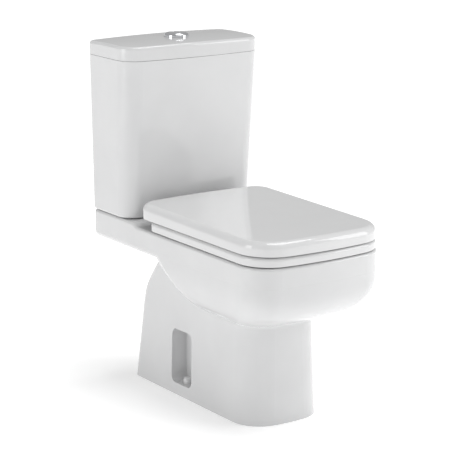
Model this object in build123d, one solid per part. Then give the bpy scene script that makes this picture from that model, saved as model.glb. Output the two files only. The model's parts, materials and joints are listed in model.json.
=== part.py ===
"""Close coupled toilet: washdown pan, cistern, hinged seat and cover, dual-flush and fill valves.

Millimetres. +Z is up and +Y points to the wall. x = 0 is the middle plane, z = 0 is the floor, and
y = 0 is half way along the depth. Depths are given as distances from the wall face (wall_y).
"""

from build123d import *
import os
from math import cos, degrees, exp, log, radians, sin

# ---------------------------------------------------------------- driving dimensions: whole object
overall_depth = 682.0
pan_width = 355.4
rim_height = 400.0
cistern_width = 376.3
cistern_depth = 185.4
tank_height = 369.0
wall_y = overall_depth / 2

# ---------------------------------------------------------------- china
china_wall = 11.0
pan_back = 1.5
pan_front = overall_depth - 2.0
rim_depth = 58.0
rim_edge_radius = 6.0
shelf_corner_radius = 16.0
shelf_bottom_radius = 14.0
pan_corner_radius = 72.0
pan_bow = 18.0
platform_step = 7.0
platform_depth = 168.0
platform_ramp = 30.0

tub_top_below_rim = 57.0
tub_depth = 107.0
tub_side_shrink = 84.0
tub_front_shrink = 150.0
tub_back = 238.0
tub_back_slope = 122.0
tub_back_radius = 60.0
tub_power = 2.1
tub_corner_shrink = 10.0
tub_into_rim = 15.0
neck_radius = 18.0

foot_width = 212.0
foot_back = 66.0
foot_setback = 125.5
foot_back_radius = 20.0
foot_front_radius = 72.0
foot_bow = 15.0
foot_side_taper = 0.0237
foot_front_taper = 0.045
foot_back_taper = 0.14
throat_below_rim = 170.0
throat_slope = 0.62
throat_blend = 12.0
throat_approach = 20.0

bowl_back = 318.0
rim_side_width = 44.0
rim_front_width = 38.0
bowl_corner_radius = 92.0
bowl_bow = 12.0
bowl_wall = 10.0
rim_undercut = 18.0
rim_lip = 54.0
opening_edge_radius = 6.0
bowl_bottom_below_rim = 298.0
bowl_roundness = 0.4

channel_top_wall = 12.0
channel_height = 32.0
channel_gap = 10.0
channel_back = 286.0
duct_end_overlap = 8.0
duct_start_margin = 6.0
flush_hole_radius = 3.2
flush_hole_pitch = 42.0

trap_radius = 37.5
trap_wall = 7.5
trap_bend_radius = 47.0
trap_inlet_depth = 392.0
trap_dip_depth = 296.0
trap_crest_depth = 246.0
trap_crest_below_rim = 137.5
trap_dip_below_rim = 262.5
outlet_depth = 166.0
spigot_radius = 51.0
spigot_length = 70.0
spigot_above_floor = 14.0

recess_depth_near = 230.0
recess_depth_far = 313.0
recess_floor = 28.0
recess_top = 158.0
recess_corner_radius = 16.0
recess_inner_x = 63.0
recess_flare = 30.0
screw_x = 84.0
screw_depth = 268.0
screw_radius = 4.0
screw_head_radius = 7.0
screw_head_height = 5.0
bush_radius = 6.5
bush_length = 14.0
bush_flange_radius = 10.0
bush_flange_height = 3.0
screw_cap_radius = 11.0
screw_cap_height = 12.0
screw_cap_round = 7.0
screw_cap_wall = 2.5
screw_cap_room = 7.0

# ---------------------------------------------------------------- cistern
tank_gap = 1.5
tank_wall = 8.0
tank_floor_wall = 11.5
tank_corner_radius = 48.0
tank_back_radius = 18.0
tank_bow = 13.0
tank_bow_loss = 3.0
tank_corner_loss = 4.5
tank_side_taper = 8.2
tank_front_taper = 22.4
tank_bottom_radius = 7.0
lid_gap = 1.0
lid_side_height = 30.0
lid_crown_x = 3.5
lid_crown_y = 3.0
lid_ceiling = 23.0
lid_seat_inset = 3.0
lid_edge_radius = 7.5
lid_lip_height = 9.0
lid_lip_clearance = 2.0
lid_lip_wall = 5.0
lid_hole_clearance = 0.4

# ---------------------------------------------------------------- coupling between cistern and pan
flush_depth = 86.0
tail_radius = 30.0
tail_wall = 4.0
tail_clearance = 2.0
gasket_recess_radius = 52.0
gasket_recess_depth = 19.0
gasket_clearance = 2.0
back_nut_wall = 8.0
back_nut_height = 12.0
duct_half_width = 30.0
duct_height = 24.0
coupling_bolt_x = 82.0
coupling_bolt_radius = 4.0
bolt_hole_clearance = 1.5
pocket_top_wall = 17.0
pocket_x_far = 166.0
pocket_depth_near = 18.0
pocket_depth_far = 176.0
pad_x_near = 100.0
pad_x_far = 158.0
pad_depth_near = 118.0
pad_depth_far = 144.0
nut_gap = 0.3
bolt_head_radius = 9.0
bolt_head_height = 5.0
bolt_head_round = 2.0
bolt_slot_half_width = 0.8
bolt_slot_depth = 2.0
bolt_seal_height = 4.0
bolt_seal_radius_low = 13.0
bolt_seal_radius_high = 10.0
bolt_tail_length = 24.0
pocket_washer_radius = 13.0

# ---------------------------------------------------------------- seat and cover
buffer_height = 2.6
seat_bow = 17.0
cover_bow = 16.6
seat_thickness = 20.2
seat_back = 236.0
seat_back_radius = 30.0
seat_side_inset = 1.2
seat_front_inset = 1.4
seat_edge_radius = 7.0
seat_wall = 5.0
seat_opening_back = 336.0
seat_opening_front_width = 54.0
seat_opening_width = 218.0
seat_opening_radius = 98.0
seat_opening_bow = 22.0
cover_gap = 2.4
cover_back = 192.5
cover_height_back = 37.5
cover_fall = 5.0
cover_crown = 3.0
cover_edge_radius = 16.0
cover_back_radius = 42.0
cover_front_radius = 82.0
cover_wall = 4.5
buffer_radius = 9.0
buffer_boss_wall = 2.0
seat_underside_round = 2.0
seat_rim_wall = 9.0
seat_mouth_wall = 8.0
seat_back_solid = 34.0
buffer_into_cover = 2.0
cover_below_plan = 15.0
cover_skirt = 4.0

hinge_depth = 226.0
hinge_above_rim = 38.0
hinge_x = 72.0
hinge_block_width = 24.0
hinge_block_back = 13.0
hinge_block_front = 8.0
hinge_shoulder = 14.0
hinge_notch_gap = 3.0
open_cover_gap = 3.0
open_cover_slope = 8.0
hinge_pin_radius = 4.0
hinge_running_clearance = 0.05
hinge_eye_radius = 8.5
hinge_lug_width = 14.0
hinge_side_gap = 2.0
hinge_bolt_radius = 4.0
hinge_top_wall = 14.0
hinge_pocket_inner = 15.0
hinge_pocket_outer = 13.0
hinge_pocket_behind = 20.0
hinge_pocket_before = 34.0
hinge_bolt_tail = 16.0
hinge_washer_radius = 9.0

# ---------------------------------------------------------------- button and valves
button_ring_radius = 29.0
button_ring_height = 9.0
barrel_wall = 2.5
button_bore_radius = 20.5
button_gap = 0.5
button_sink = 0.6
button_height = 10.0
button_stands_above_ring = 0.4
button_edge_round = 1.4
button_split_gap = 0.7
barrel_length = 36.0
web_height = 3.0
ring_flat = 2.5
ring_edge = 5.0
ring_shoulder = 1.6
ring_lip = 1.2
button_nut_radius = 32.0
button_nut_height = 8.0
spring_radius = 4.6
spring_wire_radius = 0.45
spring_turns = 6
spring_end_gap = 0.015
rod_radius = 2.5
rod_hole_clearance = 0.6
rod_into_tower = 10.0
full_rod_x = -6.0
half_rod_x = 10.0
button_split_x = 4.5
valve_base_radius = 44.0
valve_cage_radius = 36.0
valve_cage_wall = 3.0
valve_cage_height = 43.0
valve_cage_top = 4.0
valve_window_width = 22.0
valve_window_height = 28.0
valve_washer_thickness = 3.0
valve_flange_height = 4.0
valve_seat_height = 14.0
valve_seat_lip = 3.0
valve_seal_overlap = 1.0
valve_seal_thickness = 3.0
valve_disc_thickness = 3.0
valve_tail_into_duct = 4.0
tower_radius = 22.0
tower_wall = 2.5
tower_cap = 4.0
tower_slot_width = 9.0
tower_slot_height = 70.0
tower_slots_above_cage = (20.0, 110.0)
overflow_radius = 12.0
overflow_wall = 2.0
valve_float_clearance = 1.0
valve_float_height = 40.0
valve_float_above_floor = 100.0
overflow_above_floor = 205.0
tower_above_floor = 262.0

fill_x = -130.0
inlet_radius = 10.48
inlet_thread_radius = 11.0
inlet_groove_radius = 9.6
inlet_groove = 2.0
lock_nut_height = 12.0
lock_nut_radius = 19.0
inlet_below_tank = 52.0
fill_hole_radius = 24.0
riser_radius = 9.5
riser_wall = 3.5
fill_washer_thickness = 3.0
fill_flange_radius = 17.0
fill_flange_height = 4.0
float_radius = 26.0
float_height = 50.0
float_bottom_above_floor = 170.0
float_clearance = 0.4
float_wall = 2.0
float_roof = 3.0
float_sleeve_wall = 2.4
fill_head_above_floor = 275.0
fill_lever_arm = 36.0
fill_head_radius = 15.0
fill_head_height = 20.0
lever_pivot_offset = 14.0
lever_pivot_above_head = 26.0
lever_pin_radius = 1.5
lever_pin_length = 15.0
lever_pin_clearance = 0.05
lever_half_width = 3.0
lever_half_height = 2.0
lever_eye_radius = 3.6
lever_tail = 11.0
ear_gap = 0.3
ear_thickness = 3.2
link_radius = 1.4
link_slot_gap = 0.5
link_slot_back = 2.6
link_slot_front = 7.2
collar_radius = 3.0
collar_height = 3.0
collar_gap = 4.0
link_top = 9.0

washer_thickness = 2.0
wing_span = 13.0
wing_half_thickness = 1.6
wing_round = 2.5
wing_nut_height = 8.0
wing_nut_wall = 3.6

# ---------------------------------------------------------------- levels that follow from these
slab_bottom = rim_height - rim_depth
platform_z = rim_height + platform_step
tank_bottom = platform_z + tank_gap
tank_top = tank_bottom + tank_height
tank_floor = tank_bottom + tank_floor_wall
lid_bottom = tank_top + lid_gap
lid_top = lid_bottom + lid_side_height + lid_crown_x + lid_crown_y
pan_half = pan_width / 2
cistern_half = cistern_width / 2
bowl_half = pan_half - rim_side_width
bowl_front = pan_front - rim_front_width
gasket_radius = gasket_recess_radius - gasket_clearance
back_nut_radius = tail_radius + back_nut_wall
button_barrel_radius = button_bore_radius + barrel_wall
riser_bore_radius = riser_radius - riser_wall
channel_top = rim_height - channel_top_wall
channel_bottom = channel_top - channel_height
gasket_seat_z = platform_z - gasket_recess_depth
duct_top = gasket_seat_z - bowl_wall
duct_bottom = duct_top - duct_height
pocket_top = platform_z - pocket_top_wall
hinge_pocket_top = rim_height - hinge_top_wall
seat_bottom = rim_height + buffer_height
seat_top = seat_bottom + seat_thickness
cover_bottom = seat_top + cover_gap
cover_top_back = cover_bottom + cover_height_back
hinge_z = rim_height + hinge_above_rim
hinge_notch_top = hinge_z + hinge_block_back + hinge_notch_gap
trap_dip_z = rim_height - trap_dip_below_rim
trap_crest_z = rim_height - trap_crest_below_rim
button_seat_z = lid_top - button_sink
button_ring_top = button_seat_z + button_ring_height
barrel_bottom = button_seat_z - barrel_length
web_top = barrel_bottom + web_height
button_underside = button_ring_top - button_height
valve_flange_z = tank_floor + valve_washer_thickness
valve_seat_z = tank_floor + valve_seat_height
valve_disc_z = valve_seat_z + valve_seal_thickness
tower_top = tank_floor + tower_above_floor
overflow_top = tank_floor + overflow_above_floor
fill_head_z = tank_floor + fill_head_above_floor
float_bottom = tank_floor + float_bottom_above_floor
float_top = float_bottom + float_height
lever_pivot_x = fill_x - lever_pivot_offset
lever_pivot_z = fill_head_z + lever_pivot_above_head
link_x = lever_pivot_x + fill_lever_arm
far = 400.0


# ---------------------------------------------------------------- helpers
def at(x, depth, z):
    """Place something at x, at a distance from the wall, at height z."""
    return Pos(x, wall_y - depth, z)


def outline(half_width, back, front, back_radius, front_radius, bow, z=0.0):
    """A rounded plan shape with a bowed front, lying at height z."""
    y_back, y_corner, y_front = wall_y - back, wall_y - front + bow, wall_y - front
    face = make_face(
        [
            Line((half_width, y_corner), (half_width, y_back)),
            Line((half_width, y_back), (-half_width, y_back)),
            Line((-half_width, y_back), (-half_width, y_corner)),
            ThreePointArc((-half_width, y_corner), (0, y_front), (half_width, y_corner)),
        ]
    )
    face = fillet(face.vertices().sort_by(Axis.Y)[:2], front_radius)
    face = fillet(face.vertices().sort_by(Axis.Y)[-2:], back_radius)
    return Pos(0, 0, z) * face


def prism(face, height):
    """Extrude a plan shape straight up."""
    return extrude(face, amount=height, dir=(0, 0, 1))


def box_between(x0, x1, depth0, depth1, z0, z1):
    """An upright box between two x values, two distances from the wall and two heights."""
    centre = at((x0 + x1) / 2, (depth0 + depth1) / 2, (z0 + z1) / 2)
    return centre * Box(abs(x1 - x0), abs(depth1 - depth0), abs(z1 - z0))


def rod(radius, x, depth, z0, z1):
    """A vertical round bar."""
    return at(x, depth, (z0 + z1) / 2) * Cylinder(radius, z1 - z0)


def tube(outer, inner, x, depth, z0, z1):
    """A vertical round tube."""
    return rod(outer, x, depth, z0, z1) - rod(inner, x, depth, z0 - 1, z1 + 1)


def bar_x(radius, x0, x1, depth, z):
    """A round bar along X."""
    return at((x0 + x1) / 2, depth, z) * Rot(0, 90, 0) * Cylinder(radius, abs(x1 - x0))


def side_sheet(points, x0, x1):
    """A straight-sided profile given as (depth, z) points, extruded from x0 to x1."""
    face = make_face(Polyline([(wall_y - d, z) for d, z in points], close=True))
    return Pos(x0, 0, 0) * extrude(Plane.YZ * face, amount=x1 - x0)


def both_sides(shape):
    """The shape and its mirror image across the middle plane, as one list of solids."""
    return list(shape.solids()) + list(mirror(shape, about=Plane.YZ).solids())


def merge(shapes):
    """Fuse a list of shapes into one."""
    result = shapes[0]
    for shape in shapes[1:]:
        result = result + shape
    return result


def write(name, shape):
    """Write one node; a list of solids becomes one group."""
    if isinstance(shape, list):
        shape = Compound(children=[Part(s.wrapped) if not isinstance(s, Part) else s for s in shape])
    export_step(shape, "parts/" + name + ".step")


# ---------------------------------------------------------------- pan: outside
def rim_slab():
    """The rim and shelf block, with the platform for the cistern stepped up at the back."""
    top = [
        Line((wall_y + 20, slab_bottom), (wall_y + 20, platform_z)),
        Line((wall_y + 20, platform_z), (wall_y - platform_depth, platform_z)),
        Spline(
            [
                (wall_y - platform_depth, platform_z),
                (wall_y - platform_depth - platform_ramp, rim_height),
            ],
            tangents=[(-1, 0), (-1, 0)],
        ),
        Line(
            (wall_y - platform_depth - platform_ramp, rim_height),
            (wall_y - pan_front - 20, rim_height),
        ),
        Line((wall_y - pan_front - 20, rim_height), (wall_y - pan_front - 20, slab_bottom)),
        Line((wall_y - pan_front - 20, slab_bottom), (wall_y + 20, slab_bottom)),
    ]
    side = extrude(Plane.YZ * make_face(top), amount=pan_half + 20, both=True)
    plan = outline(
        pan_half, pan_back, pan_front, shelf_corner_radius, pan_corner_radius, pan_bow, slab_bottom
    )
    slab = (side & prism(plan, rim_depth + 20)).solids()[0]
    slab = fillet(slab.edges().group_by(Axis.Z)[0], shelf_bottom_radius)
    tops = [f for f in slab.faces() if f.normal_at().Z > 0.7 and f.center().Z > rim_height - 1]
    seen = {}
    for edge in [e for f in tops for e in f.edges()]:
        key = tuple(round(v, 2) for v in edge.center())
        seen.setdefault(key, []).append(edge)
    outer = [edges[0] for edges in seen.values() if len(edges) == 1]
    return fillet(outer, rim_edge_radius)


def tub_section(turn, inset=0.0):
    """One level of the tub under the rim: turn 0 is upright at the top, 90 is flat underneath."""
    depth_share = sin(radians(turn)) ** (2 / tub_power)
    shrink = 1 - cos(radians(turn)) ** (2 / tub_power)
    half = pan_half - tub_side_shrink * shrink
    z = rim_height - tub_top_below_rim - tub_depth * depth_share + inset * sin(radians(turn))
    return outline(
        half - inset,
        tub_back + tub_back_slope * depth_share + inset,
        pan_front - tub_front_shrink * shrink - inset,
        tub_back_radius - inset,
        pan_corner_radius - tub_corner_shrink * shrink - inset,
        pan_bow * half / pan_half,
        z,
    )


def tub():
    """The belly of the bowl, from the rim down to where it meets the pedestal."""
    top = outline(
        pan_half, tub_back, pan_front, tub_back_radius, pan_corner_radius, pan_bow,
        rim_height - tub_into_rim,
    )
    return loft([top] + [tub_section(turn) for turn in (0, 15, 30, 45, 60, 75, 90)])


def foot_section(z, inset=0.0):
    """One level of the pedestal, which leans out behind to carry the shelf."""
    lean = throat_slope * throat_blend * log(
        1 + exp((z - rim_height + throat_below_rim) / throat_blend)
    )
    return outline(
        foot_width / 2 - foot_side_taper * z - inset,
        foot_back + foot_back_taper * z + lean + inset,
        pan_front - foot_setback - foot_front_taper * z - inset,
        foot_back_radius - inset / 2,
        foot_front_radius - inset,
        foot_bow,
        z,
    )


def foot_levels(low, high):
    """Heights of the pedestal's sections: even below the throat and closer together through it."""
    throat = rim_height - throat_below_rim
    below = [low + (throat - throat_approach - low) * i / 4 for i in range(5)]
    above = [throat + (high - throat) * i / 5 for i in range(6)]
    return below + above


def pedestal():
    """The hollow foot of the pan, seen from outside."""
    return loft([foot_section(z) for z in foot_levels(0.0, slab_bottom + 10)])


def pan_outside():
    """Rim slab, tub and pedestal as one body, with a soft neck where tub and pedestal meet."""
    body = (rim_slab() + tub() + pedestal()).solids()[0]
    neck = [
        e
        for e in body.edges()
        if e.bounding_box().min.Z > rim_height - 200
        and e.bounding_box().min.Z < slab_bottom - 1
        and e.bounding_box().max.Z < slab_bottom + 1
        and e.geom_type != GeomType.LINE
    ]
    return body.fillet(neck_radius, neck)


# ---------------------------------------------------------------- pan: inside
def rim_opening(grow=0.0, z=0.0):
    """Plan shape of the bowl's mouth, optionally larger all round."""
    return outline(
        bowl_half + grow,
        bowl_back - grow,
        bowl_front + grow,
        bowl_corner_radius + grow,
        bowl_corner_radius + grow,
        bowl_bow,
        z,
    )


def bowl_hollow(grow=0.0):
    """The bowl below the rim, narrowing to the sump; grow gives its outer skin."""
    top = rim_height - rim_lip
    sections = []
    for fall, side, back, front in (
        (0.0, rim_undercut, -rim_undercut, rim_undercut),
        (0.10, rim_undercut - 10, -10, 2),
        (0.25, -14, -4, -40),
        (0.43, -46, 6, -112),
        (0.62, -74, 20, -178),
        (0.80, -88, 28, -214),
        (1.0, -98, 34, -232),
    ):
        half = bowl_half + side + grow
        back_line, front_line = bowl_back + back - grow, bowl_front + front + grow
        radius = bowl_roundness * min(2 * half, front_line - back_line)
        z = top - fall * (bowl_bottom_below_rim - rim_lip)
        sections.append(outline(half, back_line, front_line, radius, radius, 6, z))
    if grow:
        sections[-1] = Pos(0, 0, -grow) * sections[-1]
    return loft(sections)


def trap_tube(radius, low_end):
    """The trapway: level out of the sump, up over the crest and down to the outlet."""
    path = FilletPolyline(
        (wall_y - trap_inlet_depth, trap_dip_z),
        (wall_y - trap_dip_depth, trap_dip_z),
        (wall_y - trap_crest_depth, trap_crest_z),
        (wall_y - outlet_depth, trap_crest_z),
        (wall_y - outlet_depth, low_end),
        radius=trap_bend_radius,
    )
    path = Plane.YZ * path
    start = Plane(origin=path @ 0, z_dir=path % 0)
    return sweep(start * Circle(radius), path=path)


def recess_face(x, far_depth, grow):
    """Rounded outline of the side recess on the upright plane at x."""
    face = RectangleRounded(
        far_depth - recess_depth_near + 2 * grow,
        recess_top - recess_floor + 2 * grow,
        recess_corner_radius + grow,
    )
    middle = (far_depth + recess_depth_near) / 2
    plane = Plane(
        origin=(x, wall_y - middle, (recess_floor + recess_top) / 2), x_dir=(0, 1, 0), z_dir=(1, 0, 0)
    )
    return plane * face


def recess_box(grow=0.0):
    """The side recess over one floor fixing, on the +X side; its front wall flares outwards."""
    inner = recess_face(recess_inner_x - grow, recess_depth_far - recess_flare, grow)
    outer = recess_face(foot_width / 2 + 5, recess_depth_far + 4, grow)
    return loft([inner, outer])


def under_void():
    """The hollow of the casting, open to the floor, around the bowl's skin and the trapway."""
    foot = loft([foot_section(z, china_wall) for z in foot_levels(-1.0, slab_bottom - 12)])
    belly = loft([tub_section(turn, china_wall) for turn in (14, 25, 35, 45, 60, 75, 90)])
    skin = bowl_hollow(bowl_wall) + trap_tube(trap_radius + trap_wall, spigot_above_floor)
    spigot_top = spigot_above_floor + spigot_length
    skin = skin + rod(spigot_radius, 0, outlet_depth, spigot_above_floor, spigot_top)
    hollow = foot + belly
    for sign in (-1, 1):
        hollow = hollow + box_between(
            sign * (hinge_x - hinge_pocket_inner), sign * (hinge_x + hinge_pocket_outer),
            hinge_depth - hinge_pocket_behind, hinge_depth + hinge_pocket_before,
            slab_bottom - 20, hinge_pocket_top,
        )
    return hollow - skin - both_sides(recess_box(china_wall))


def flush_channel():
    """The closed box rim: a ring-shaped channel fed from the duct behind it."""
    outer = outline(
        pan_half - china_wall,
        channel_back,
        pan_front - china_wall,
        bowl_corner_radius,
        pan_corner_radius - china_wall,
        pan_bow,
        channel_bottom,
    )
    ring = prism(outer, channel_height) - prism(
        rim_opening(channel_gap, channel_bottom - 1), channel_height + 2
    )
    duct = box_between(
        -duct_half_width, duct_half_width, flush_depth - tail_radius - duct_start_margin,
        channel_back + duct_end_overlap, duct_bottom, duct_top,
    )
    inlet = rod(tail_radius + tail_clearance, 0, flush_depth, duct_bottom, platform_z + 1)
    return ring + duct + inlet


def flush_holes():
    """Small holes from the channel down into the undercut of the rim."""
    z0, z1 = rim_height - rim_lip - 5, channel_bottom + 3
    offset = channel_gap + 4.0
    holes = []
    run = bowl_front - bowl_back - 2 * bowl_corner_radius
    count = int(run // flush_hole_pitch) + 1
    for i in range(count):
        depth = bowl_back + bowl_corner_radius + i * run / max(count - 1, 1)
        for sign in (-1, 1):
            holes.append(rod(flush_hole_radius, sign * (bowl_half + offset), depth, z0, z1))
    for turn in range(20, 90, 25):
        reach = bowl_corner_radius + offset
        x = bowl_half - bowl_corner_radius + reach * cos(radians(turn))
        for sign in (-1, 1):
            back = bowl_back + bowl_corner_radius - reach * sin(radians(turn))
            holes.append(rod(flush_hole_radius, sign * x, back, z0, z1))
    return holes


def pan():
    """The whole casting."""
    body = pan_outside()
    body = body - prism(rim_opening(0.0, rim_height - rim_lip - 2), rim_lip + 20)
    mouth = [
        e
        for e in body.edges()
        if abs(e.center().Z - rim_height) < 0.01
        and e.bounding_box().max.X < bowl_half + 1
        and e.bounding_box().min.X > -bowl_half - 1
        and e.bounding_box().max.Y < wall_y - bowl_back + 1
        and e.bounding_box().min.Y > wall_y - bowl_front - 1
    ]
    body = body.solids()[0].fillet(opening_edge_radius, mouth)
    body = body - bowl_hollow()
    body = body - under_void()
    body = body - flush_channel()
    body = body - trap_tube(trap_radius, -2.0)
    body = body - both_sides(recess_box())
    body = body - flush_holes()
    body = body - rod(gasket_recess_radius, 0, flush_depth, gasket_seat_z, platform_z + 20)
    pocket_near_x = duct_half_width + bowl_wall + 4
    for sign in (-1, 1):
        body = body - box_between(
            sign * pocket_near_x, sign * pocket_x_far, pocket_depth_near, pocket_depth_far,
            slab_bottom - 40, pocket_top,
        )
        body = body - rod(
            coupling_bolt_radius + bolt_hole_clearance, sign * coupling_bolt_x, flush_depth,
            pocket_top - 1, platform_z + 1,
        )
        body = body - rod(
            hinge_bolt_radius + bolt_hole_clearance, sign * hinge_x, hinge_depth,
            hinge_pocket_top - 1, rim_height + 1,
        )
        body = body - rod(bush_radius, sign * screw_x, screw_depth, -1, recess_floor + 1)
    body = body - rod(fill_hole_radius, fill_x, flush_depth, pocket_top - 1, platform_z + 1)
    return body


# ---------------------------------------------------------------- cistern
def tank_section(inset, z):
    """The cistern's plan shape at height z: it narrows a little towards its floor."""
    below = (tank_top - z) / tank_height
    return outline(
        cistern_half - tank_side_taper * below - inset,
        inset,
        cistern_depth - tank_front_taper * below - inset,
        tank_back_radius - inset,
        tank_corner_radius - tank_corner_loss * below - inset,
        tank_bow - tank_bow_loss * below,
        z,
    )


def cistern_tank():
    """The tapered china tank, with holes in its floor for the valves and bolts."""
    body = loft([tank_section(0, tank_bottom), tank_section(0, tank_top)])
    body = fillet(body.edges().group_by(Axis.Z)[0], tank_bottom_radius)
    body = body - loft([tank_section(tank_wall, tank_floor), tank_section(tank_wall, tank_top + 1)])
    body = body - rod(tail_radius + tail_clearance, 0, flush_depth, tank_bottom - 1, tank_floor + 1)
    body = body - rod(
        inlet_thread_radius + bolt_hole_clearance, fill_x, flush_depth, tank_bottom - 1, tank_floor + 1
    )
    for x in (-coupling_bolt_x, coupling_bolt_x):
        body = body - rod(
            coupling_bolt_radius + bolt_hole_clearance, x, flush_depth, tank_bottom - 1, tank_floor + 1
        )
    return body


def crown_solid(sag_x, sag_y, half_x, depth_centre, half_depth, top):
    """A huge gently domed solid whose top falls sag_x at the sides and sag_y at front and back."""
    reach_x = 1.4 * half_x
    fall = sag_x * 1.4**2
    turn_radius = half_depth**2 / (2 * sag_y)
    axis_z = top - turn_radius
    face = make_face(
        [
            ThreePointArc((-reach_x, top - fall), (0, top), (reach_x, top - fall)),
            Line((reach_x, top - fall), (reach_x, axis_z)),
            Line((reach_x, axis_z), (-reach_x, axis_z)),
            Line((-reach_x, axis_z), (-reach_x, top - fall)),
        ]
    )
    turn_axis = Axis((0, wall_y - depth_centre, axis_z), (1, 0, 0))
    face = (Pos(0, wall_y - depth_centre, 0) * (Plane.XZ * face)).rotate(turn_axis, -12)
    return revolve(face, axis=turn_axis, revolution_arc=24)


def lid_section(inset, z):
    """The lid's plan shape, level with the top of the tank."""
    return outline(
        cistern_half - inset,
        inset,
        cistern_depth - inset,
        tank_back_radius - inset,
        tank_corner_radius - inset,
        tank_bow,
        z,
    )


def cistern_lid():
    """The domed lid, with a lip inside the tank and a hole for the button."""
    block = prism(lid_section(0, lid_bottom), lid_side_height + 20)
    crown = crown_solid(
        lid_crown_x, lid_crown_y, cistern_half, cistern_depth / 2, cistern_depth / 2, lid_top
    )
    body = (block & crown).solids()[0]
    top_face = body.faces().sort_by(Axis.Z)[-1]
    body = fillet(top_face.edges(), lid_edge_radius)
    body = body + prism(lid_section(lid_seat_inset, tank_top), lid_gap + 1)
    lip_outer = tank_wall + lid_lip_clearance
    body = body + prism(lid_section(lip_outer, tank_top - lid_lip_height), lid_lip_height + 1)
    hollow_inset = lip_outer + lid_lip_wall
    body = body - prism(
        lid_section(hollow_inset, tank_top - lid_lip_height - 1),
        lid_lip_height + lid_gap + lid_ceiling + 1,
    )
    middle = cistern_depth / 2
    body = body - rod(button_ring_radius + lid_hole_clearance, 0, middle, button_seat_z, lid_top + 5)
    return body - rod(button_barrel_radius + lid_hole_clearance, 0, middle, lid_bottom, lid_top + 5)


def tank_pads():
    """Two foam pads that carry the front of the cistern."""
    pad = box_between(pad_x_near, pad_x_far, pad_depth_near, pad_depth_far, platform_z, tank_bottom)
    return both_sides(pad)


def close_coupling_gasket():
    """The ring that seals the flush valve's tail to the pan, around the back nut."""
    return tube(
        gasket_radius, back_nut_radius + nut_gap, 0, flush_depth, gasket_seat_z, tank_bottom
    )


def flush_valve_back_nut():
    """The eight-sided nut that clamps the flush valve to the tank floor."""
    nut = prism(RegularPolygon(back_nut_radius, 8), back_nut_height)
    nut = at(0, flush_depth, tank_bottom - back_nut_height) * nut
    return nut - rod(tail_radius, 0, flush_depth, 0, tank_top)


def wing_nut(x, depth, top, hole_radius):
    """A wing nut hanging under the height top, wings along Y."""
    low = top - wing_nut_height
    body = rod(hole_radius + wing_nut_wall, x, depth, low, top)
    wing = box_between(
        x - wing_half_thickness, x + wing_half_thickness, depth - wing_span, depth + wing_span,
        low, top - 1,
    )
    wing = fillet(wing.edges().filter_by(Axis.X), wing_round)
    return body + wing - rod(hole_radius, x, depth, low - 1, top + 1)


def cistern_bolt():
    """One close coupling bolt: slotted round head in the tank, shank down through the shelf."""
    x, low = coupling_bolt_x, tank_floor + bolt_seal_height
    top = low + bolt_head_height
    head = rod(bolt_head_radius, x, flush_depth, low, top)
    head = fillet(head.edges().group_by(Axis.Z)[-1], bolt_head_round)
    slot = box_between(
        x - bolt_head_radius - 1, x + bolt_head_radius + 1, flush_depth - bolt_slot_half_width,
        flush_depth + bolt_slot_half_width, top - bolt_slot_depth, top + 1,
    )
    return head - slot + rod(coupling_bolt_radius, x, flush_depth, pocket_top - bolt_tail_length, low)


def cistern_bolt_seal():
    """The tapered rubber washer under one bolt head."""
    cone = Cone(bolt_seal_radius_low, bolt_seal_radius_high, bolt_seal_height)
    cone = at(coupling_bolt_x, flush_depth, tank_floor + bolt_seal_height / 2) * cone
    return cone - rod(coupling_bolt_radius, coupling_bolt_x, flush_depth, tank_bottom, tank_top)


# ---------------------------------------------------------------- flush valve
def flush_valve_base():
    """Threaded tail, flange and seat lip of the flush valve."""
    flange_top = valve_flange_z + valve_flange_height
    low = duct_top - valve_tail_into_duct
    body = merge(
        [
            rod(tail_radius, 0, flush_depth, low, valve_flange_z),
            rod(valve_base_radius, 0, flush_depth, valve_flange_z, flange_top),
            rod(tail_radius + valve_seat_lip, 0, flush_depth, flange_top, valve_seat_z),
        ]
    )
    return body - rod(tail_radius - tail_wall, 0, flush_depth, low - 1, valve_seat_z + 1)


def flush_valve_body():
    """Windowed cage and slotted tower of the flush valve, with guide holes for the rods on top."""
    low = valve_flange_z + valve_flange_height
    top = low + valve_cage_height
    cage_bore, tower_bore = valve_cage_radius - valve_cage_wall, tower_radius - tower_wall
    body = merge(
        [
            tube(valve_cage_radius, cage_bore, 0, flush_depth, low, top),
            tube(valve_cage_radius, tower_radius - 1, 0, flush_depth, top, top + valve_cage_top),
            tube(tower_radius, tower_bore, 0, flush_depth, top, tower_top),
            rod(tower_radius, 0, flush_depth, tower_top - tower_cap, tower_top),
        ]
    )
    for turn in (0, 60, 120):
        window = Box(3 * valve_cage_radius, valve_window_width, valve_window_height)
        body = body - at(0, flush_depth, (low + top) / 2) * Rot(0, 0, turn) * window
    for above in tower_slots_above_cage:
        slot = Box(tower_slot_width, 3 * tower_radius, tower_slot_height)
        body = body - at(0, flush_depth, top + above + tower_slot_height / 2) * slot
    for x in (full_rod_x, half_rod_x):
        body = body - rod(
            rod_radius + rod_hole_clearance, x, cistern_depth / 2, tower_top - tower_cap - 1, tower_top + 1
        )
    return body


def overflow_tube():
    """The moving overflow tube with the valve disc at its foot."""
    body = rod(overflow_radius, 0, flush_depth, valve_disc_z, overflow_top)
    disc_top = valve_disc_z + valve_disc_thickness
    body = body + rod(tail_radius, 0, flush_depth, valve_disc_z, disc_top)
    bore = overflow_radius - overflow_wall
    return body - rod(bore, 0, flush_depth, valve_disc_z - 1, overflow_top + 1)


def push_rod(x):
    """One rod from a button down into the flush valve's tower."""
    return rod(rod_radius, x, cistern_depth / 2, tower_top - rod_into_tower, button_underside)


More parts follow.
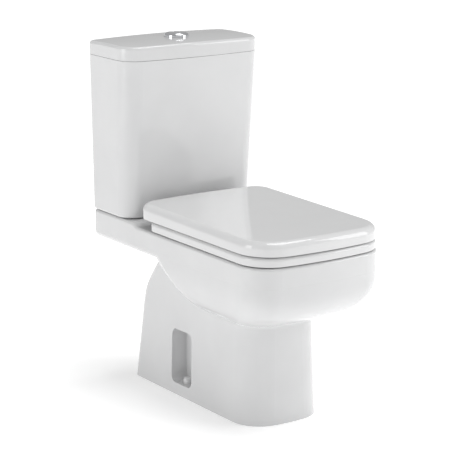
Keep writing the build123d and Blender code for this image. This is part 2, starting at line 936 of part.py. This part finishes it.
# ---------------------------------------------------------------- button
def button_housing():
    """Chrome ring with its barrel through the lid and a web that carries the springs."""
    lip_radius, lip_z = button_bore_radius + ring_lip, button_ring_height - ring_lip
    ring = make_face(
        [
            Line((button_bore_radius, 0), (button_ring_radius, 0)),
            Line((button_ring_radius, 0), (button_ring_radius, ring_flat)),
            ThreePointArc(
                (button_ring_radius, ring_flat),
                (button_ring_radius - ring_shoulder, button_ring_height - ring_shoulder),
                (button_ring_radius - ring_edge, button_ring_height),
            ),
            Line((button_ring_radius - ring_edge, button_ring_height), (lip_radius, button_ring_height)),
            Line((lip_radius, button_ring_height), (button_bore_radius, lip_z)),
            Line((button_bore_radius, lip_z), (button_bore_radius, 0)),
        ]
    )
    ring = at(0, cistern_depth / 2, button_seat_z) * revolve(Plane.XZ * ring, axis=Axis.Z)
    barrel = tube(
        button_barrel_radius, button_bore_radius, 0, cistern_depth / 2, barrel_bottom, button_seat_z
    )
    web = rod(button_barrel_radius, 0, cistern_depth / 2, barrel_bottom, web_top)
    for x in (full_rod_x, half_rod_x):
        hole_radius = rod_radius + rod_hole_clearance
        web = web - rod(hole_radius, x, cistern_depth / 2, barrel_bottom - 1, web_top + 1)
    return ring + barrel + web


def flush_button(side):
    """One of the two buttons: side -1 is the large full-flush one, +1 the small part-flush one."""
    radius = button_bore_radius - button_gap
    top = button_ring_top + button_stands_above_ring
    disc = rod(radius, 0, cistern_depth / 2, button_underside, top)
    edge = button_split_x + side * button_split_gap / 2
    keep = box_between(edge, side * far, 0, cistern_depth, button_underside - 1, top + 1)
    button = (disc & keep).solids()[0]
    return fillet(button.edges().group_by(Axis.Z)[-1], button_edge_round)


def button_spring(x):
    """The return spring round one push rod."""
    room = button_underside - web_top
    length = room * (1 - 2 * spring_end_gap)
    coil = Helix(pitch=length / spring_turns, height=length, radius=spring_radius)
    wire = sweep(Plane(origin=coil @ 0, z_dir=coil % 0) * Circle(spring_wire_radius), path=coil)
    return at(x, cistern_depth / 2, web_top + room * spring_end_gap) * wire


def button_nut():
    """The nut that holds the button housing under the lid."""
    top = lid_bottom + lid_ceiling
    low = top - button_nut_height
    nut = at(0, cistern_depth / 2, low) * prism(RegularPolygon(button_nut_radius, 10), button_nut_height)
    return nut - rod(button_barrel_radius, 0, cistern_depth / 2, low - 1, top + 1)


# ---------------------------------------------------------------- fill valve
def fill_valve_shank():
    """Inlet tail, thread relief groove, threaded shank and flange of the bottom-entry fill valve."""
    flange_z = tank_floor + fill_washer_thickness
    low = tank_bottom - inlet_below_tank
    thread_z = tank_bottom - lock_nut_height - inlet_groove
    body = rod(inlet_radius, fill_x, flush_depth, low, thread_z - inlet_groove)
    body = body + rod(inlet_groove_radius, fill_x, flush_depth, thread_z - inlet_groove, thread_z)
    body = body + rod(inlet_thread_radius, fill_x, flush_depth, thread_z, flange_z + 1)
    body = body + rod(fill_flange_radius, fill_x, flush_depth, flange_z, flange_z + fill_flange_height)
    return body - rod(riser_bore_radius, fill_x, flush_depth, low - 1, flange_z + fill_flange_height + 1)


def fill_valve_riser():
    """The upright pipe that carries the valve head and guides the float."""
    low = tank_floor + fill_washer_thickness + fill_flange_height
    return tube(riser_radius, riser_bore_radius, fill_x, flush_depth, low, fill_head_z)


def cross_pin(radius, length):
    """A round bar along Y on the float lever's pivot."""
    return at(lever_pivot_x, flush_depth, lever_pivot_z) * Rot(90, 0, 0) * Cylinder(radius, length)


def fill_valve_head():
    """The valve head on the riser, with two ears for the lever pin."""
    body = rod(fill_head_radius, fill_x, flush_depth, fill_head_z, fill_head_z + fill_head_height)
    body = fillet(body.edges().group_by(Axis.Z)[-1], 2)
    near = lever_half_width + ear_gap
    for side in (-1, 1):
        body = body + box_between(
            lever_pivot_x - 4, lever_pivot_x + 6,
            flush_depth + side * near, flush_depth + side * (near + ear_thickness),
            fill_head_z + fill_head_height - 5, lever_pivot_z + 4,
        )
    return body - cross_pin(lever_pin_radius, 2 * lever_pin_length)


def fill_lever_pin():
    """The pin the float lever turns on."""
    return cross_pin(lever_pin_radius, lever_pin_length)


def float_lever():
    """The lever that closes the valve as the float rises; the link passes through its slot."""
    bar = box_between(
        lever_pivot_x, link_x + lever_tail,
        flush_depth - lever_half_width, flush_depth + lever_half_width,
        lever_pivot_z - lever_half_height, lever_pivot_z + lever_half_height,
    )
    slot_half = link_radius + link_slot_gap
    slot = box_between(
        link_x - link_slot_back, link_x + link_slot_front,
        flush_depth - slot_half, flush_depth + slot_half,
        lever_pivot_z - lever_half_height - 1, lever_pivot_z + lever_half_height + 1,
    )
    eye = cross_pin(lever_eye_radius, 2 * lever_half_width)
    return bar + eye - slot - cross_pin(lever_pin_radius + lever_pin_clearance, lever_pin_length)


def float_link():
    """The link from the float up through the lever, with a collar below and above it."""
    low_collar, high_collar = lever_pivot_z - collar_gap - collar_height, lever_pivot_z + collar_gap
    return merge(
        [
            rod(link_radius, link_x, flush_depth, float_top, lever_pivot_z + link_top),
            rod(collar_radius, link_x, flush_depth, low_collar, low_collar + collar_height),
            rod(collar_radius, link_x, flush_depth, high_collar, high_collar + collar_height),
        ]
    )


def float_cup():
    """The float, an upside-down cup that slides on the riser."""
    body = rod(float_radius, fill_x, flush_depth, float_bottom, float_top)
    body = fillet(body.edges().group_by(Axis.Z)[-1], float_roof)
    body = body - rod(
        float_radius - float_wall, fill_x, flush_depth, float_bottom - 1, float_top - float_roof
    )
    sleeve_bore = riser_radius + float_clearance
    body = body + rod(sleeve_bore + float_sleeve_wall, fill_x, flush_depth, float_bottom, float_top - 2)
    return body - rod(sleeve_bore, fill_x, flush_depth, float_bottom - 1, float_top + 1)


def fill_valve_lock_nut():
    """The hexagon nut under the tank that holds the fill valve."""
    nut = at(fill_x, flush_depth, tank_bottom - lock_nut_height) * prism(
        RegularPolygon(lock_nut_radius, 6), lock_nut_height
    )
    return nut - rod(inlet_thread_radius, fill_x, flush_depth, 0, tank_top)


# ---------------------------------------------------------------- seat, cover and hinges
seat_pads = ((pan_half - 26, 350.0), (pan_half - 26, 520.0), (70.0, pan_front - 21))
cover_pads = ((pan_half - 34, 420.0), (62.0, pan_front - 27))


def seat_opening(grow=0.0, z=0.0):
    """Plan shape of the hole in the seat."""
    return outline(
        seat_opening_width / 2 + grow,
        seat_opening_back - grow,
        overall_depth - seat_front_inset - seat_opening_front_width + grow,
        seat_opening_radius + grow,
        seat_opening_radius + grow,
        seat_opening_bow,
        z,
    )


def seat_plan(inset, z):
    """Plan shape of the outside of the seat."""
    return outline(
        pan_half - seat_side_inset - inset,
        seat_back + inset,
        overall_depth - seat_front_inset - inset,
        seat_back_radius - inset,
        cover_front_radius - 4 - inset,
        seat_bow,
        z,
    )


def seat_ring():
    """The seat, hollow underneath, with two eyes behind it for the hinge pins."""
    body = prism(seat_plan(0, seat_bottom), seat_thickness)
    body = body - prism(seat_opening(0, seat_bottom - 1), seat_thickness + 2)
    body = fillet(body.edges().group_by(Axis.Z)[-1], seat_edge_radius)
    body = fillet(body.edges().group_by(Axis.Z)[0], seat_underside_round)
    hollow = prism(seat_plan(seat_rim_wall, seat_bottom - 1), seat_thickness - seat_wall + 1) - prism(
        seat_opening(seat_mouth_wall, seat_bottom - 2), seat_thickness + 4
    )
    hollow = hollow - box_between(-far, far, seat_back, seat_back + seat_back_solid, 0, seat_top)
    for x, depth in seat_pads:
        hollow = hollow - both_sides(rod(buffer_radius + buffer_boss_wall, x, depth, 0, seat_top))
    body = body - hollow
    inner = hinge_x + hinge_block_width / 2 + hinge_side_gap
    arm = side_sheet(
        [
            (hinge_depth - 2, hinge_z + 6),
            (hinge_depth + 6, hinge_z + 6),
            (seat_back + 16, seat_top - 1.5),
            (seat_back + 16, seat_bottom + 3),
            (seat_back + 2, seat_bottom + 3),
            (hinge_depth - 3, hinge_z - 6),
        ],
        inner,
        inner + hinge_lug_width,
    )
    lug = arm + bar_x(hinge_eye_radius, inner, inner + hinge_lug_width, hinge_depth, hinge_z)
    body = body + both_sides(lug)
    return body - bar_x(hinge_pin_radius + hinge_running_clearance, -far, far, hinge_depth, hinge_z)


def cover_block(inset):
    """The cover as a solid block with its rounded, slightly crowned top; inset gives its hollow."""
    low = cover_bottom - cover_below_plan
    plan = outline(
        pan_half - seat_side_inset - inset,
        cover_back + inset,
        overall_depth - inset,
        cover_back_radius - inset,
        cover_front_radius - inset,
        cover_bow,
        low,
    )
    radius = pan_half**2 / (2 * cover_crown)
    middle = (cover_back + overall_depth) / 2
    tilt = cover_fall / (overall_depth - cover_back)
    top = cover_top_back - cover_fall / 2 - inset
    roof = Pos(0, wall_y - middle, top - radius) * Rot(90, 0, 0) * Cylinder(radius, 900)
    roof = roof.rotate(Axis((0, wall_y - middle, top), (1, 0, 0)), degrees(tilt))
    block = (prism(plan, 90) & roof).solids()[0]
    top_face = block.faces().sort_by(Axis.Z)[-1]
    block = fillet(top_face.edges(), cover_edge_radius - inset)
    return block - box_between(-far, far, -far, 3 * far, low - 5, cover_bottom)


def seat_cover():
    """The cover, a thin moulded shell with two hinge eyes and bosses for its buffers."""
    roof_z = cover_top_back - cover_wall
    body = cover_block(0)
    inside = cover_block(cover_wall) + prism(
        outline(
            pan_half - seat_side_inset - cover_wall, cover_back + cover_wall,
            overall_depth - cover_wall, cover_back_radius - cover_wall,
            cover_front_radius - cover_wall, cover_bow, cover_bottom - cover_skirt / 2,
        ),
        cover_skirt,
    )
    body = body - inside
    outer = hinge_x - hinge_block_width / 2 - hinge_side_gap
    inner = outer - hinge_lug_width
    arm = side_sheet(
        [
            (hinge_depth - 8, cover_top_back - 3.0),
            (hinge_depth + 16, cover_top_back - 3.0),
            (hinge_depth + 7, hinge_z - 3),
            (hinge_depth - 7, hinge_z - 3),
        ],
        inner,
        outer,
    )
    lug = arm + bar_x(hinge_eye_radius, inner, outer, hinge_depth, hinge_z)
    for x, depth in cover_pads:
        boss = rod(buffer_radius - 1, x, depth, cover_bottom + buffer_into_cover, roof_z + 1)
        boss = boss & cover_block(1.0)
        lug = lug + boss
    notch_half = hinge_block_width / 2 + hinge_notch_gap
    notch = box_between(
        hinge_x - notch_half, hinge_x + notch_half, cover_back - 5, cover_back + cover_wall + 2,
        cover_bottom - 1, hinge_notch_top,
    )
    skirt_z = hinge_z - (seat_back - hinge_depth) + open_cover_gap
    skirt_depth = hinge_depth - (hinge_z - seat_top) + open_cover_gap
    skirt = side_sheet(
        [
            (cover_back - 5, cover_bottom - 1),
            (cover_back - 5, skirt_z),
            (skirt_depth, skirt_z),
            (skirt_depth + open_cover_slope, cover_bottom - 1),
        ],
        -far,
        far,
    )
    body = (body - skirt - both_sides(notch)) + both_sides(lug)
    bore = bar_x(hinge_pin_radius + hinge_running_clearance, inner - 5, outer + 5, hinge_depth, hinge_z)
    return body - both_sides(bore)


def hinge_block():
    """One hinge pillar that stands on the pan."""
    x0, x1 = hinge_x - hinge_block_width / 2, hinge_x + hinge_block_width / 2
    back, front = hinge_depth - hinge_block_back, hinge_depth + hinge_block_front
    body = side_sheet(
        [
            (back, rim_height),
            (front, rim_height),
            (front, hinge_z),
            (hinge_depth - hinge_eye_radius, hinge_z),
            (back, hinge_z - hinge_shoulder),
        ],
        x0,
        x1,
    )
    body = body + bar_x(hinge_eye_radius + 0.5, x0, x1, hinge_depth, hinge_z)
    body = body - bar_x(hinge_pin_radius, x0 - 1, x1 + 1, hinge_depth, hinge_z)
    return body - rod(hinge_bolt_radius, hinge_x, hinge_depth, 0, hinge_z - hinge_shoulder)


def hinge_pin():
    """One pin through the cover's eye, the pillar and the seat's eye."""
    reach = hinge_block_width / 2 + hinge_side_gap + hinge_lug_width + 2
    return bar_x(hinge_pin_radius, hinge_x - reach, hinge_x + reach, hinge_depth, hinge_z)


# ---------------------------------------------------------------- floor fixings
def screw_bush():
    """The plastic collar in one floor screw hole."""
    body = rod(bush_radius, screw_x, screw_depth, recess_floor - bush_length, recess_floor)
    body = body + rod(
        bush_flange_radius, screw_x, screw_depth, recess_floor, recess_floor + bush_flange_height
    )
    return body - rod(screw_radius, screw_x, screw_depth, 0, recess_top)


def floor_screw():
    """One floor screw, cut off level with the floor."""
    low = recess_floor + bush_flange_height
    head = prism(RegularPolygon(screw_head_radius, 6), screw_head_height)
    return at(screw_x, screw_depth, low) * head + rod(screw_radius, screw_x, screw_depth, 0, low + 1)


def screw_cap():
    """The domed cap over one floor screw."""
    low = recess_floor + bush_flange_height
    dome = rod(screw_cap_radius, screw_x, screw_depth, low, low + screw_cap_height)
    dome = fillet(dome.edges().group_by(Axis.Z)[-1], screw_cap_round)
    return dome - rod(screw_cap_radius - screw_cap_wall, screw_x, screw_depth, low - 1, low + screw_cap_room)


# ---------------------------------------------------------------- all nodes
def build():
    """Make every node and write it."""
    nut_top = hinge_pocket_top - washer_thickness
    button_x = {"full": full_rod_x, "half": half_rod_x}
    write("pan", pan())
    write("cistern_tank", cistern_tank())
    write("cistern_lid", cistern_lid())
    write("tank_pads", tank_pads())
    write("close_coupling_gasket", close_coupling_gasket())
    write("flush_valve_back_nut", flush_valve_back_nut())
    write("cistern_bolts", both_sides(cistern_bolt()))
    write("cistern_bolt_seals", both_sides(cistern_bolt_seal()))
    pocket_nut_top = pocket_top - washer_thickness
    pocket_washer = tube(
        pocket_washer_radius, coupling_bolt_radius, coupling_bolt_x, flush_depth, pocket_nut_top, pocket_top
    )
    write("cistern_bolt_washers", both_sides(pocket_washer))
    pocket_nut = wing_nut(coupling_bolt_x, flush_depth, pocket_nut_top, coupling_bolt_radius)
    write("cistern_wing_nuts", both_sides(pocket_nut))
    valve_washer = tube(
        valve_base_radius - 1, tail_radius, 0, flush_depth, tank_floor, valve_flange_z
    )
    write("flush_valve_washer", valve_washer)
    write("flush_valve_base", flush_valve_base())
    write("flush_valve_body", flush_valve_body())
    write("overflow_tube", overflow_tube())
    seal_bore = overflow_radius - overflow_wall
    seal = tube(tail_radius + valve_seal_overlap, seal_bore, 0, flush_depth, valve_seat_z, valve_disc_z)
    write("valve_seal", seal)
    float_z = tank_floor + valve_float_above_floor
    valve_float = tube(
        tower_radius - tower_wall - valve_float_clearance, overflow_radius, 0, flush_depth, float_z,
        float_z + valve_float_height,
    )
    write("valve_float", valve_float)
    write("button_housing", button_housing())
    write("button_nut", button_nut())
    write("full_flush_button", flush_button(-1))
    write("half_flush_button", flush_button(1))
    for name, x in button_x.items():
        write(name + "_push_rod", push_rod(x))
        write(name + "_button_spring", button_spring(x))
    write("fill_valve_shank", fill_valve_shank())
    fill_flange_z = tank_floor + fill_washer_thickness
    fill_washer = tube(
        fill_flange_radius + 1, inlet_thread_radius, fill_x, flush_depth, tank_floor, fill_flange_z
    )
    write("fill_valve_washer", fill_washer)
    write("fill_valve_lock_nut", fill_valve_lock_nut())
    write("fill_valve_riser", fill_valve_riser())
    write("fill_valve_head", fill_valve_head())
    write("fill_lever_pin", fill_lever_pin())
    write("float_lever", float_lever())
    write("float_link", float_link())
    write("float_cup", float_cup())
    write("seat_ring", seat_ring())
    write("seat_cover", seat_cover())
    seat_buffers = [rod(buffer_radius, x, depth, rim_height, seat_bottom) for x, depth in seat_pads]
    write("seat_buffers", [s for pad in seat_buffers for s in both_sides(pad)])
    pad_top = cover_bottom + buffer_into_cover
    cover_buffers = [rod(buffer_radius - 2, x, d, seat_top, pad_top) for x, d in cover_pads]
    write("cover_buffers", [s for pad in cover_buffers for s in both_sides(pad)])
    write("hinge_blocks", both_sides(hinge_block()))
    write("hinge_pins", both_sides(hinge_pin()))
    stud_low = hinge_pocket_top - hinge_bolt_tail
    stud = rod(hinge_bolt_radius, hinge_x, hinge_depth, stud_low, hinge_z - hinge_shoulder)
    write("hinge_bolts", both_sides(stud))
    hinge_washer = tube(
        hinge_washer_radius, hinge_bolt_radius, hinge_x, hinge_depth, nut_top, hinge_pocket_top
    )
    write("hinge_washers", both_sides(hinge_washer))
    write("hinge_wing_nuts", both_sides(wing_nut(hinge_x, hinge_depth, nut_top, hinge_bolt_radius)))
    write("screw_bushes", both_sides(screw_bush()))
    write("floor_screws", both_sides(floor_screw()))
    write("screw_caps", both_sides(screw_cap()))


os.makedirs("parts", exist_ok=True)
build()
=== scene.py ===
"""Looks for the close coupled toilet: materials, floor, studio light and camera, in metres."""

import json
from math import cos, radians, sin

import bpy
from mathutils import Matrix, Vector


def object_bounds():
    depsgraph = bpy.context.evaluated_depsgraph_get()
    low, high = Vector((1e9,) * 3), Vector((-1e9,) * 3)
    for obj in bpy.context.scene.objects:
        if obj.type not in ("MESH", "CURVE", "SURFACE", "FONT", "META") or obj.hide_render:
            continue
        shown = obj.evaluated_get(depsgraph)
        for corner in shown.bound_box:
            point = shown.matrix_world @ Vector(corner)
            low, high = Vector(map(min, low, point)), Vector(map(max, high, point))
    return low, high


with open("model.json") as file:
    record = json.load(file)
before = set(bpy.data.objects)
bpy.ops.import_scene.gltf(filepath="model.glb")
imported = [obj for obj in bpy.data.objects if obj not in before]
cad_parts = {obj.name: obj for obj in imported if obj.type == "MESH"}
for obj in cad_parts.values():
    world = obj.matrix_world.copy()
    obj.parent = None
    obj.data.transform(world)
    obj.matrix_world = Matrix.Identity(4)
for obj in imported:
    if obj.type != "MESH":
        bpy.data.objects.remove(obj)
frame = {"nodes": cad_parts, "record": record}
cad_low, cad_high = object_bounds()

# ---------------------------------------------------------------- view, angles in degrees
VIEW_AZIMUTH = -34.91
VIEW_ELEVATION = 13.89
VIEW_DISTANCE = 4.236
VIEW_ROLL_RADIANS = 0.006
VIEW_LENS = 144.1
VIEW_SHIFT = (0.0083, 0.0012)
VIEW_AIM_BEFORE_MIDDLE = 0.041
VIEW_AIM_HEIGHT = 0.390
CAMERA_REACH = 100.0

# ---------------------------------------------------------------- studio, angles in degrees
FLOOR_HALF = 60.0
FLOOR_GLOW = 0.29
BACKDROP_STRENGTH = 1.3
ROOM_STRENGTH = 0.42
OVERHEAD = {"azimuth": 60, "elevation": 74, "strength": 1.55, "angle": 40}
KEY = {"azimuth": 48, "elevation": 18, "distance": 3.2, "width": 1.3, "height": 2.0, "power": 26}
LEFT_STRIP = {"azimuth": -95, "elevation": 16, "distance": 3.4, "width": 1.2, "height": 2.2, "power": 24}


# ---------------------------------------------------------------- node helpers
def new_material(name):
    """An empty node material with its Principled shader; returns material, node tree and shader."""
    material = bpy.data.materials.new(name)
    material.use_nodes = True
    tree = material.node_tree
    return material, tree, tree.nodes["Principled BSDF"]


def node(tree, kind, **values):
    """Add a node and set its input sockets by name."""
    made = tree.nodes.new(kind)
    for key, value in values.items():
        made.inputs[key.replace("_", " ")].default_value = value
    return made


def noise(tree, scale, detail=2.0, roughness=0.5):
    """Noise over the object's own coordinates, which are metres."""
    place = tree.nodes.new("ShaderNodeTexCoord")
    made = node(tree, "ShaderNodeTexNoise", Scale=scale, Detail=detail, Roughness=roughness)
    tree.links.new(place.outputs["Object"], made.inputs["Vector"])
    return made.outputs["Fac"]


def spread(tree, value, low, high, from_low=0.3, from_high=0.7):
    """Map a 0 to 1 texture value onto a range."""
    made = node(
        tree,
        "ShaderNodeMapRange",
        From_Min=from_low,
        From_Max=from_high,
        To_Min=low,
        To_Max=high,
    )
    tree.links.new(value, made.inputs["Value"])
    return made.outputs["Result"]


def tint(tree, value, dark, light):
    """Blend two colours by a 0 to 1 texture value."""
    made = tree.nodes.new("ShaderNodeMix")
    made.data_type = "RGBA"
    made.inputs["A"].default_value = (*dark, 1)
    made.inputs["B"].default_value = (*light, 1)
    tree.links.new(value, made.inputs["Factor"])
    return made.outputs["Result"]


def bump(tree, shader, layers):
    """Chain bump layers of (height socket, distance in metres, strength) into the shader's normal."""
    normal = None
    for height, distance, strength in layers:
        made = node(tree, "ShaderNodeBump", Strength=strength, Distance=distance)
        tree.links.new(height, made.inputs["Height"])
        if normal:
            tree.links.new(normal, made.inputs["Normal"])
        normal = made.outputs["Normal"]
    tree.links.new(normal, shader.inputs["Normal"])


# ---------------------------------------------------------------- materials
def glazed_china():
    """White vitreous china: faint cloudy tone, glassy glaze with a slow ripple and a fine grain."""
    material, tree, shader = new_material("glazed_china")
    clouds = noise(tree, 7.0, 3.0)
    colour = tint(tree, spread(tree, clouds, 0.0, 1.0), (0.640, 0.642, 0.646), (0.675, 0.677, 0.680))
    tree.links.new(colour, shader.inputs["Base Color"])
    tree.links.new(spread(tree, noise(tree, 35.0), 0.10, 0.15), shader.inputs["Roughness"])
    shader.inputs["IOR"].default_value = 1.5
    shader.inputs["Coat Weight"].default_value = 0.35
    shader.inputs["Coat Roughness"].default_value = 0.03
    bump(tree, shader, [(noise(tree, 9.0), 0.0012, 0.10), (noise(tree, 240.0, 1.0), 0.0001, 0.06)])
    return material


def polished_plastic():
    """White thermoset of the seat: even tone, very smooth, faint moulding ripple."""
    material, tree, shader = new_material("polished_plastic")
    colour = tint(tree, noise(tree, 12.0), (0.670, 0.672, 0.675), (0.700, 0.702, 0.704))
    tree.links.new(colour, shader.inputs["Base Color"])
    tree.links.new(spread(tree, noise(tree, 60.0), 0.07, 0.11), shader.inputs["Roughness"])
    shader.inputs["Coat Weight"].default_value = 0.4
    shader.inputs["Coat Roughness"].default_value = 0.04
    bump(tree, shader, [(noise(tree, 14.0), 0.0006, 0.08), (noise(tree, 420.0, 1.0), 0.00005, 0.05)])
    return material


def polished_chrome():
    """Bright chrome plate with a very fine grain."""
    material, tree, shader = new_material("polished_chrome")
    marks = noise(tree, 900.0, 4.0)
    colour = tint(tree, noise(tree, 40.0), (0.72, 0.73, 0.75), (0.82, 0.83, 0.85))
    tree.links.new(colour, shader.inputs["Base Color"])
    tree.links.new(spread(tree, marks, 0.04, 0.10), shader.inputs["Roughness"])
    shader.inputs["Metallic"].default_value = 1.0
    bump(tree, shader, [(marks, 0.00003, 0.15)])
    return material


def machined_metal(name, dark, light, roughness):
    """Satin metal with a fine grain and slight staining."""
    material, tree, shader = new_material(name)
    marks = noise(tree, 1200.0, 3.0)
    tree.links.new(tint(tree, noise(tree, 90.0, 4.0), dark, light), shader.inputs["Base Color"])
    tree.links.new(spread(tree, marks, roughness, roughness + 0.15), shader.inputs["Roughness"])
    shader.inputs["Metallic"].default_value = 1.0
    bump(tree, shader, [(marks, 0.00005, 0.3)])
    return material


def moulded_plastic(name, dark, light):
    """Satin injection-moulded plastic with a fine skin texture."""
    material, tree, shader = new_material(name)
    tree.links.new(tint(tree, noise(tree, 30.0, 3.0), dark, light), shader.inputs["Base Color"])
    tree.links.new(spread(tree, noise(tree, 150.0), 0.30, 0.42), shader.inputs["Roughness"])
    bump(tree, shader, [(noise(tree, 1500.0, 2.0), 0.00006, 0.25)])
    return material


def soft_rubber(name, dark, light, grain_scale):
    """Matt rubber or foam; a lower grain_scale gives a coarser grain."""
    material, tree, shader = new_material(name)
    tree.links.new(tint(tree, noise(tree, 70.0, 4.0), dark, light), shader.inputs["Base Color"])
    tree.links.new(spread(tree, noise(tree, 300.0), 0.62, 0.85), shader.inputs["Roughness"])
    bump(tree, shader, [(noise(tree, grain_scale, 3.0), 0.0003, 0.5)])
    return material


def slot_materials():
    """One material for each material slot in the record."""
    return {
        "white_china": glazed_china(),
        "white_seat_plastic": polished_plastic(),
        "chrome": polished_chrome(),
        "stainless_steel": machined_metal("stainless_steel", (0.50, 0.50, 0.51), (0.64, 0.64, 0.65), 0.22),
        "brass": machined_metal("brass", (0.62, 0.44, 0.17), (0.80, 0.61, 0.28), 0.25),
        "black_rubber": soft_rubber("black_rubber", (0.016, 0.016, 0.017), (0.030, 0.030, 0.031), 700.0),
        "grey_rubber": soft_rubber("grey_rubber", (0.27, 0.28, 0.29), (0.36, 0.37, 0.38), 700.0),
        "white_plastic": moulded_plastic("white_plastic", (0.70, 0.70, 0.69), (0.80, 0.80, 0.79)),
        "blue_plastic": moulded_plastic("blue_plastic", (0.05, 0.13, 0.32), (0.07, 0.18, 0.42)),
        "black_foam": soft_rubber("black_foam", (0.020, 0.020, 0.022), (0.045, 0.045, 0.048), 320.0),
    }


def dress_nodes():
    """Give every CAD node the material of its slot."""
    materials = slot_materials()
    for part in frame["record"]["subparts"]:
        shown = frame["nodes"][part["node"]]
        shown.data.materials.clear()
        shown.data.materials.append(materials[part["material_slot"]])


# ---------------------------------------------------------------- studio
def plane_mesh(name, width, height):
    """A flat rectangle, centred, facing +Z."""
    mesh = bpy.data.meshes.new(name)
    x, y = width / 2, height / 2
    mesh.from_pydata([(-x, -y, 0), (x, -y, 0), (x, y, 0), (-x, y, 0)], [], [(0, 1, 2, 3)])
    made = bpy.data.objects.new(name, mesh)
    bpy.context.collection.objects.link(made)
    return made


def floor():
    """A plain bright floor, a little uneven in tone, that glows faintly so that it reads as white."""
    made = plane_mesh("floor", 2 * FLOOR_HALF, 2 * FLOOR_HALF)
    material, tree, shader = new_material("floor_paint")
    tone = tint(tree, noise(tree, 2.0), (0.94, 0.94, 0.94), (0.96, 0.96, 0.96))
    tree.links.new(tone, shader.inputs["Base Color"])
    shader.inputs["Roughness"].default_value = 0.8
    shader.inputs["Specular IOR Level"].default_value = 0.0
    shader.inputs["Emission Color"].default_value = (1, 1, 1, 1)
    shader.inputs["Emission Strength"].default_value = FLOOR_GLOW
    made.data.materials.append(material)


def sky():
    """White to the camera, and an even, dimmer white for light and reflections."""
    world = bpy.data.worlds.new("studio")
    bpy.context.scene.world = world
    world.use_nodes = True
    tree = world.node_tree
    tree.nodes.clear()
    out = tree.nodes.new("ShaderNodeOutputWorld")
    seen = node(tree, "ShaderNodeBackground", Color=(1, 1, 1, 1), Strength=BACKDROP_STRENGTH)
    room = node(tree, "ShaderNodeBackground", Color=(1, 1, 1, 1), Strength=ROOM_STRENGTH)
    mix = tree.nodes.new("ShaderNodeMixShader")
    path = tree.nodes.new("ShaderNodeLightPath")
    tree.links.new(path.outputs["Is Camera Ray"], mix.inputs["Fac"])
    tree.links.new(room.outputs["Background"], mix.inputs[1])
    tree.links.new(seen.outputs["Background"], mix.inputs[2])
    tree.links.new(mix.outputs["Shader"], out.inputs["Surface"])


def direction(azimuth, elevation):
    """Unit vector from the object towards a viewer at this azimuth and elevation."""
    a, e = radians(azimuth), radians(elevation)
    return Vector((sin(a) * cos(e), -cos(a) * cos(e), sin(e)))


def sun(name, azimuth, elevation, strength, angle):
    """A soft distant light that falls evenly on the whole floor."""
    data = bpy.data.lights.new(name, "SUN")
    data.energy = strength
    data.angle = radians(angle)
    made = bpy.data.objects.new(name, data)
    bpy.context.collection.objects.link(made)
    made.rotation_euler = (-direction(azimuth, elevation)).to_track_quat("-Z", "Y").to_euler()


def softbox(name, azimuth, elevation, distance, width, height, power):
    """A rectangular studio light, aimed at the middle of the object."""
    data = bpy.data.lights.new(name, "AREA")
    data.shape = "RECTANGLE"
    data.size, data.size_y = width, height
    data.energy = power
    made = bpy.data.objects.new(name, data)
    bpy.context.collection.objects.link(made)
    middle = (cad_low + cad_high) / 2
    away = direction(azimuth, elevation)
    made.location = middle + away * distance
    made.rotation_euler = (-away).to_track_quat("-Z", "Y").to_euler()


def camera():
    """The camera, turned about its own axis by the small roll of the view."""
    data = bpy.data.cameras.new("camera")
    data.lens = VIEW_LENS
    data.shift_x, data.shift_y = VIEW_SHIFT
    data.clip_end = CAMERA_REACH
    made = bpy.data.objects.new("camera", data)
    bpy.context.collection.objects.link(made)
    away = direction(VIEW_AZIMUTH, VIEW_ELEVATION)
    aim = Vector((0.0, VIEW_AIM_BEFORE_MIDDLE, VIEW_AIM_HEIGHT))
    made.location = aim + away * VIEW_DISTANCE
    turn = (-away).to_track_quat("-Z", "Y").to_matrix()
    made.rotation_euler = turn.to_euler()
    made.rotation_euler.rotate_axis("Z", VIEW_ROLL_RADIANS)
    bpy.context.scene.camera = made


def studio():
    """Floor, sky, the distant overhead light and two softboxes."""
    floor()
    sky()
    sun("overhead", **OVERHEAD)
    softbox("key", **KEY)
    softbox("left_strip", **LEFT_STRIP)
    bpy.context.scene.view_settings.view_transform = "Standard"


camera()
studio()
dress_nodes()
